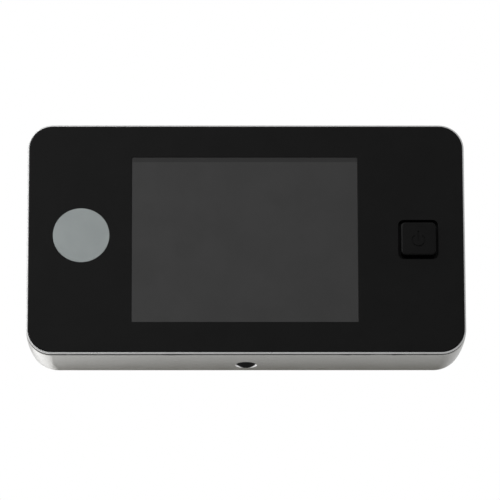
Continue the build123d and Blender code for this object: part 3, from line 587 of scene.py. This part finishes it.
# The finish of each of the record's slots: its deepest and palest tone, its roughness, its gloss or its lines
materials = {
    "panel_black": moulded_plastic("satin_black", grey(0.0020), grey(0.0026), 0.42, 0.066),
    "button_black": moulded_plastic("button_black", grey(0.0020), grey(0.0026), 0.36, 0.06),
    "case_silver": silver_paint("case_silver", (0.237, 0.235, 0.226), (0.313, 0.31, 0.298), 0.30),
    "rim_silver": silver_paint("rim_silver", grey(0.36), grey(0.44), 0.28),
    "disc_grey": moulded_plastic("disc_grey", (0.232, 0.254, 0.254), (0.255, 0.279, 0.279), 0.5, 0.25),
    "screen_grey": smoked_pane(
        "smoked_pane", (grey(0.0200), grey(0.0230)), (grey(0.0085), grey(0.0100)), (0.46, 0.54), 0.19
    ),
    "screen_glass": clear_glass("screen_glass", grey(0.9), 0.1),
    "steel": drawn_metal("zinc_steel", grey(0.42), grey(0.58), 0.38, along_z),
    "screw_steel": drawn_metal("screw_steel", grey(0.45), grey(0.62), 0.3, along_y),
    "foam_black": soft_rubber("foam_black", grey(0.012), grey(0.03)),
    "inner_white": moulded_plastic("inner_white", grey(0.62), grey(0.7), 0.5, 0.4),
    "inner_black": moulded_plastic("inner_black", grey(0.015), grey(0.025), 0.55, 0.4),
    "board_green": circuit_board(
        "board_green", (0.008, 0.09, 0.03), (0.012, 0.13, 0.045), (0.03, 0.24, 0.09)
    ),
    "flex_amber": moulded_plastic("flex_amber", (0.35, 0.15, 0.02), (0.45, 0.2, 0.03), 0.3, 0.5),
    "capacitor_can": drawn_metal("capacitor_can", grey(0.6), grey(0.75), 0.3, along_y),
    "cell_wrap": moulded_plastic("cell_wrap", grey(0.02), grey(0.035), 0.3, 0.5),
    "contact_nickel": drawn_metal("contact_nickel", grey(0.55), grey(0.7), 0.3, along_x),
    "housing_metal": drawn_metal("housing_metal", grey(0.4), grey(0.5), 0.4, round_y),
    "sleeve_metal": drawn_metal("sleeve_metal", grey(0.5), grey(0.6), 0.35, round_y),
    "window_glass": clear_glass("window_glass", grey(0.7), 0.02),
    "lens_glass": clear_glass("lens_glass", (0.75, 0.85, 1.0), 0.0),
    "gasket_rubber": soft_rubber("gasket_rubber", grey(0.02), grey(0.035)),
}
# Painted shade: a dark grey for the groove between rim and case, where shade falls
painted_groove_shade = moulded_plastic("painted_groove_shade", grey(0.036), grey(0.046), 0.6, 0.2)
wrap_band = moulded_plastic("wrap_band", (0.42, 0.16, 0.05), (0.5, 0.2, 0.07), 0.3, 0.5)
# The dish's painted light: pale tones for its highlight, paler than the case's paint, and near-black tones
# for its shade
dish_painted_light = dish_painted_shade_and_highlight("dish_painted_shade_and_highlight", (grey(0.70), grey(0.80)), (grey(0.004), grey(0.008)), 0.35, 0.1)

bodies_of_nodes = {name: node["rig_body"] for name, node in frame["nodes"].items()}
slots_of_nodes = {name: node.material_slots[0].material.name for name, node in frame["nodes"].items()}


def dress_nodes():
    """Gives each CAD node the finish of its slot."""
    for node in frame["nodes"].values():
        for slot in node.material_slots:
            slot.material = materials[slot.material.name]


def finished(form, name, *finishes, crease=30):
    """An object at the origin with the form as its mesh, sharp where it turns more than the crease."""
    mesh = bpy.data.meshes.new(name)
    form.to_mesh(mesh)
    form.free()
    for old in ("custom_normal", "sharp_edge", "sharp_face"):
        if old in mesh.attributes:
            mesh.attributes.remove(mesh.attributes[old])
    mesh.shade_smooth()
    mesh.set_sharp_from_angle(angle=radians(crease))
    for finish in finishes:
        mesh.materials.append(finish)
    piece = bpy.data.objects.new(name, mesh)
    bpy.context.collection.objects.link(piece)
    return piece


def stand_in_for(node, form, name, *finishes, crease=30, soft_edge=0):
    """A finer piece that takes a CAD piece's place, body and slot. A soft edge rounds its sharp edges."""
    piece = finished(form, name, *finishes, crease=crease)
    if soft_edge:
        edges = piece.modifiers.new("soft_edges", "BEVEL")
        edges.width = soft_edge
        edges.segments = soft_edge_steps
        edges.limit_method = "ANGLE"
        edges.angle_limit = soft_edge_turn
    shading = piece.modifiers.new("flat_faces_stay_flat", "WEIGHTED_NORMAL")
    shading.keep_sharp = True
    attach(piece, bodies_of_nodes[node])
    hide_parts(node)


def everything_in(form):
    return form.verts[:] + form.edges[:] + form.faces[:]


def copied(node):
    """A CAD piece's mesh as a form, with shared points made one and its flat faces whole."""
    form = bmesh.new()
    form.from_mesh(frame["nodes"][node].data)
    bmesh.ops.remove_doubles(form, verts=form.verts, dist=merge_gap)
    bmesh.ops.dissolve_limit(form, angle_limit=flat_turn, verts=form.verts, edges=form.edges)
    for face in form.faces:
        face.material_index = 0
    return form


def join(form, other):
    """Adds a second form to a form."""
    mesh = bpy.data.meshes.new("joined")
    other.to_mesh(mesh)
    other.free()
    form.from_mesh(mesh)
    bpy.data.meshes.remove(mesh)


def turned(form, degrees, axis):
    turn = Matrix.Rotation(radians(degrees), 3, axis)
    bmesh.ops.rotate(form, verts=form.verts, cent=(0, 0, 0), matrix=turn)


def stand_up(form, x, y, z, upside_down=False):
    """Turns a form made round the Y axis to stand along Z, and moves it."""
    turned(form, 90, "X")
    if upside_down:
        turned(form, 180, "Y")
    bmesh.ops.translate(form, verts=form.verts, vec=(x, y, z))


def within(value, low, high):
    return max(low, min(high, value))


def resize_round_y(vert, change):
    """Moves a point in or out from the Y axis, to the radius that the change makes of its own."""
    old = hypot(vert.co.x, vert.co.z)
    new = change(old)
    vert.co.x *= new / old
    vert.co.z *= new / old


def eased(corners):
    """An outline of (radius, place, rounding) corners, with each corner rounded."""
    outline = []
    for i, (radius, place, rounding) in enumerate(corners):
        here = Vector((radius, place))
        before = (Vector(corners[i - 1][:2]) - here).normalized()
        after = (Vector(corners[(i + 1) % len(corners)][:2]) - here).normalized()
        if rounding == 0:
            outline.append(here)
            continue
        start, end = here + before * rounding, here + after * rounding
        for k in range(corner_steps + 1):
            share = k / corner_steps
            outline.append(start.lerp(here, share).lerp(here.lerp(end, share), share))
    return outline


def spin_outline(form, outline, steps):
    """Turns an open outline of (radius, place) points once round the Y axis."""
    verts = [form.verts.new((radius, place, 0)) for radius, place in outline]
    edges = [form.edges.new(pair) for pair in zip(verts, verts[1:])]
    bmesh.ops.spin(
        form, geom=verts + edges, cent=(0, 0, 0), axis=(0, 1, 0), angle=2 * pi, steps=steps, use_merge=True,
    )


def close_up(form):
    """Merges the ends of what was spun, and points its faces outwards."""
    bmesh.ops.remove_doubles(form, verts=form.verts, dist=close_gap)
    bmesh.ops.recalc_face_normals(form, faces=form.faces)


def spin_thread(form, radius, depth, pitch, span, steps, run_out):
    """The skin of a right-handed thread round the Y axis, that sinks to its core at both ends."""
    core = radius - depth
    crest_share, flank_share = 0.1, 0.36
    foot_share = crest_share + flank_share
    profile = (
        (0, radius), (crest_share, radius), (foot_share, core),
        (1 - foot_share, core), (1 - crest_share, radius), (1, radius),
    )
    verts = [form.verts.new((reach, span[0] + (share - 1) * pitch, 0)) for share, reach in profile]
    edges = [form.edges.new(pair) for pair in zip(verts, verts[1:])]
    bmesh.ops.spin(
        form, geom=verts + edges, cent=(0, 0, 0), axis=(0, 1, 0), dvec=(0, pitch / steps, 0),
        angle=2 * pi, steps=steps,
    )
    first = everything_in(form)
    for turn in range(1, round((span[1] - span[0]) / pitch) + 1):
        more = bmesh.ops.duplicate(form, geom=first)["geom"]
        moved = [part for part in more if isinstance(part, bmesh.types.BMVert)]
        bmesh.ops.translate(form, verts=moved, vec=(0, turn * pitch, 0))
    for vert in form.verts:
        vert.co.y = within(vert.co.y, *span)
        fade = within(min(vert.co.y - span[0], span[1] - vert.co.y) / run_out, 0.0, 1.0)
        resize_round_y(vert, lambda old: core + (old - core) * fade)


def make_floor():
    form = bmesh.new()
    bmesh.ops.create_grid(form, x_segments=1, y_segments=1, size=floor_size / 2)
    bmesh.ops.translate(form, verts=form.verts, vec=(0, 0, floor_height))
    floor = finished(form, "floor", pale_floor())


def make_dark_card():
    """A card behind the unit that only shows in reflections, and shades the underside."""
    form = bmesh.new()
    bmesh.ops.create_grid(form, x_segments=1, y_segments=1, size=1 / 2)
    bmesh.ops.scale(form, verts=form.verts, vec=(*dark_card_size, 1))
    turned(form, 90, "X")
    bmesh.ops.translate(form, verts=form.verts, vec=dark_card_place)
    card = finished(form, "dark_card", faded_card())
    card.visible_camera = False
    card.visible_diffuse = False
    card.visible_transmission = False
    card.visible_shadow = False


def outline_place(point, half_width, half_height, radius):
    """How far a point is outside a rounded rectangle across Y, and the way out."""
    across = abs(point.x) - (half_width - radius)
    up = abs(point.z) - (half_height - radius)
    if across > 0 and up > 0:
        out, distance = Vector((across, 0, up)), hypot(across, up) - radius
    elif across > up:
        out, distance = Vector((1, 0, 0)), across - radius
    else:
        out, distance = Vector((0, 0, 1)), up - radius
    out.x *= 1 if point.x > 0 else -1
    out.z *= 1 if point.z > 0 else -1
    return distance, out.normalized()


def make_case():
    """The rear shell, whose walls swell between their edges, with painted shade grey on its front face at the
    groove and painted shade and highlight in its dish.
    """
    form = copied("rear_shell")
    low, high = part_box("rear_shell")
    depth = high.y - low.y
    for step in range(1, crown_steps):
        place = (0, low.y + depth * step / crown_steps, 0)
        bmesh.ops.bisect_plane(
            form, geom=everything_in(form), dist=cut_gap, plane_co=place, plane_no=(0, 1, 0),
        )
    for vert in form.verts:
        share = (vert.co.y - low.y) / depth
        drawn_in = (vert.co.y - low.y) * tan(case_draft)
        radius = case_corner[0] + (case_corner[1] - case_corner[0]) * share
        distance, out = outline_place(vert.co, high.x - drawn_in, high.z - drawn_in, radius)
        near = within((crown_skin[1] - abs(distance)) / (crown_skin[1] - crown_skin[0]), 0.0, 1.0)
        vert.co += out * near * crown_height * 4 * share * (1 - share)
    form.normal_update()
    for face in form.faces:
        middle = face.calc_center_median()
        # The case's front face at the groove gets painted shade grey, and the dish round the lock screw its
        # painted shade and highlight
        if middle.y < low.y + front_skin and face.normal.y < -facing_share:
            face.material_index = 1
        elif hypot(middle.x, middle.y - lock_axis) < dish_reach and abs(middle.z - lock_seat) < dish_height:
            face.material_index = 2
    finishes = materials["case_silver"], painted_groove_shade, dish_painted_light
    stand_in_for("rear_shell", form, "case_shell", *finishes, crease=28)


def make_rim():
    """The silver rim, with its groove in painted shade grey."""
    form = copied("silver_rim")
    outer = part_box("silver_rim")[1]
    for face in form.faces:
        middle = face.calc_center_median()
        distance = outline_place(middle, outer.x, outer.z, case_corner[0])[0]
        in_groove = groove_front - groove_spare < middle.y < groove_back + groove_spare
        # Faces deep in the groove get painted shade grey
        face.material_index = 1 if in_groove and distance < -groove_depth else 0
    stand_in_for("silver_rim", form, "rim_and_groove", materials["rim_silver"], painted_groove_shade)


def make_panel():
    """The front panel, with the edges of its window and of the button's opening rounded."""
    form = copied("front_panel")
    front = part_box("front_panel")[0].y
    disc = middle_of("badge_disc")
    edges = []
    for edge in form.edges:
        if len(edge.link_faces) != 2 or any(abs(vert.co.y - front) > close_gap for vert in edge.verts):
            continue
        reaches = [hypot(vert.co.x - disc.x, vert.co.z - disc.z) for vert in edge.verts]
        if edge.calc_face_angle(0) > opening_turn and min(reaches) >= disc_seat_reach:
            edges.append(edge)
    bmesh.ops.bevel(
        form, geom=edges, offset=opening_edge, offset_type="OFFSET", segments=opening_edge_steps, profile=0.5,
        affect="EDGES", material=-1,
    )
    stand_in_for("front_panel", form, "front_face", materials["panel_black"])


def make_housing():
    """The camera's head and its threaded barrel."""
    form = bmesh.new()
    core = barrel_radius - thread_depth
    span = thread_start, thread_end
    spin_thread(form, barrel_radius, thread_depth, thread_pitch, span, thread_steps, thread_run_out)
    groove = [(head_radius - inside, head_foot + above, rounding) for inside, above, rounding in head_groove]
    spin_outline(form, eased([
        (core, thread_end, 0),
        (barrel_radius, thread_end + barrel_collar, hair_rounding),
        (barrel_radius, head_foot, fine_rounding),
        (head_radius, head_foot, head_foot_rounding),
        *groove,
        (head_front_radius, head_front, head_front_rounding),
        (window_bore, head_front, fine_rounding),
        (window_bore, window_seat, 0),
        (head_bore, window_seat, hair_rounding),
        (head_bore, head_back, fine_rounding),
        (barrel_bore, head_back, bore_rounding),
        (barrel_bore, barrel_end, bore_rounding),
        (core, barrel_end, barrel_rounding),
        (core, thread_start, 0),
    ]), thread_steps)
    close_up(form)
    stand_in_for("camera_housing", form, "camera_head_and_barrel", materials["housing_metal"], crease=35)


def lock_shank():
    """The lock screw's neck, thread and point, round the Y axis from the head's seat."""
    shank = bmesh.new()
    core = lock_radius - lock_thread_depth
    length = lock_tip - lock_seat
    span = lock_thread_start, length - lock_point
    spin_thread(shank, lock_radius, lock_thread_depth, lock_pitch, span, lock_steps, lock_run_out)
    spin_outline(shank, [(core, span[1]), (lock_point, length), (0, length)], lock_steps)
    spin_outline(shank, [
        (0, lock_neck_foot),
        (lock_neck_radius, lock_neck_foot),
        (lock_neck_radius, lock_neck_end),
        (core, span[0]),
    ], lock_steps)
    close_up(shank)
    return shank


def make_lock_screw():
    """The lock screw: the head with its tapered cross, and a threaded shank."""
    form = copied("lock_screw")
    cut = (0, 0, lock_seat + lock_stub)
    bmesh.ops.bisect_plane(
        form, geom=everything_in(form), dist=cut_gap, plane_co=cut, plane_no=(0, 0, 1), clear_outer=True,
    )
    bmesh.ops.contextual_create(form, geom=[edge for edge in form.edges if edge.is_boundary])
    for vert in form.verts:
        if cross_floor[0] < vert.co.z - lock_bottom < cross_floor[1]:
            vert.co.x *= cross_taper_share
            vert.co.y = lock_axis + (vert.co.y - lock_axis) * cross_taper_share
    shank = lock_shank()
    stand_up(shank, 0, lock_axis, lock_seat)
    join(form, shank)
    stand_in_for("lock_screw", form, "cross_head_lock_screw", materials["screw_steel"], crease=35)


def coil_spring():
    """A coil spring round the Y axis, wide at its foot and narrow at its tip."""
    coil = bmesh.new()
    wide, narrow = (radius - spring_wire for radius in spring_radii)
    rise = spring_length - 2 * spring_wire
    steps = spring_turn_steps * spring_turns
    bmesh.ops.create_circle(coil, cap_ends=True, radius=spring_wire, segments=spring_wire_sides)
    bmesh.ops.translate(coil, verts=coil.verts, vec=(wide, spring_wire, 0))
    bmesh.ops.spin(
        coil, geom=everything_in(coil), cent=(0, 0, 0), axis=(0, 1, 0), dvec=(0, rise / steps, 0),
        angle=2 * pi * spring_turns, steps=steps,
    )
    for vert in coil.verts:
        share = within((vert.co.y - spring_wire) / rise, 0.0, 1.0)
        resize_round_y(vert, lambda old: old + (narrow - wide) * share)
    bmesh.ops.remove_doubles(coil, verts=coil.verts, dist=merge_gap)
    bmesh.ops.recalc_face_normals(coil, faces=coil.faces)
    return coil


def stands_on_its_head(node):
    """Whether a cell's positive end is down."""
    return middle_of(node).z < 0


def make_springs():
    """The three coil springs at the cells' negative ends, wide at the plate and narrow at the cell."""
    form = bmesh.new()
    low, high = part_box("contact_springs")
    for node in cell_nodes:
        middle, over = middle_of(node), stands_on_its_head(node)
        coil = coil_spring()
        stand_up(coil, middle.x, middle.y, high.z if over else low.z, upside_down=over)
        join(form, coil)
    stand_in_for("contact_springs", form, "coil_springs", materials["contact_nickel"], crease=60)


def make_cell(node, name):
    """A cell: a steel can in a sleeve that laps over its ends, with a coloured band at the positive end."""
    low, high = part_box(node)
    radius, foot = (high.x - low.x) / 2, low.z - high.z
    mouth, shoulder = radius - cell_lap, -cell_nub_height
    form = bmesh.new()
    spin_outline(form, eased([
        (0, 0, 0),
        (cell_nub_radius, 0, cell_nub_rounding),
        (cell_nub_radius, shoulder - cell_groove, fine_rounding),
        (mouth, shoulder - cell_groove, fine_rounding),
        (mouth, shoulder, hair_rounding),
        (radius, shoulder, cell_shoulder_rounding),
        (radius, shoulder - cell_band, 0),
        (radius, foot, cell_shoulder_rounding),
        (mouth, foot, hair_rounding),
        (mouth, foot + cell_sleeve, hair_rounding),
        (cell_plate_radii[0], foot + cell_sleeve, fine_rounding),
        (cell_plate_radii[1], foot, fine_rounding),
        (0, foot, 0),
    ]), cell_steps)
    close_up(form)
    for face in form.faces:
        middle = face.calc_center_median()
        if hypot(middle.x, middle.z) < mouth - lap_spare:
            face.material_index = 1
        elif middle.y > shoulder - cell_band:
            face.material_index = 2
    place, over = middle_of(node), stands_on_its_head(node)
    stand_up(form, place.x, place.y, low.z if over else high.z, upside_down=over)
    finishes = materials["cell_wrap"], materials["contact_nickel"], wrap_band
    stand_in_for(node, form, name, *finishes, crease=35)


def make_cells():
    for number, node in enumerate(cell_nodes, start=1):
        make_cell(node, "wrapped_cell_%d" % number)


def make_soft_edged():
    """The pieces whose form the CAD has, with the small rounded edges of the real ones."""
    for node, width in soft_edges.items():
        finish = materials[slots_of_nodes[node]]
        stand_in_for(node, copied(node), node + "_soft", finish, soft_edge=width)


bpy.context.scene.view_settings.view_transform = "Standard"
make_camera()
make_world()
make_lamps()
make_floor()
make_dark_card()
dress_nodes()
make_case()
make_rim()
make_panel()
make_housing()
make_lock_screw()
make_springs()
make_cells()
make_soft_edged()
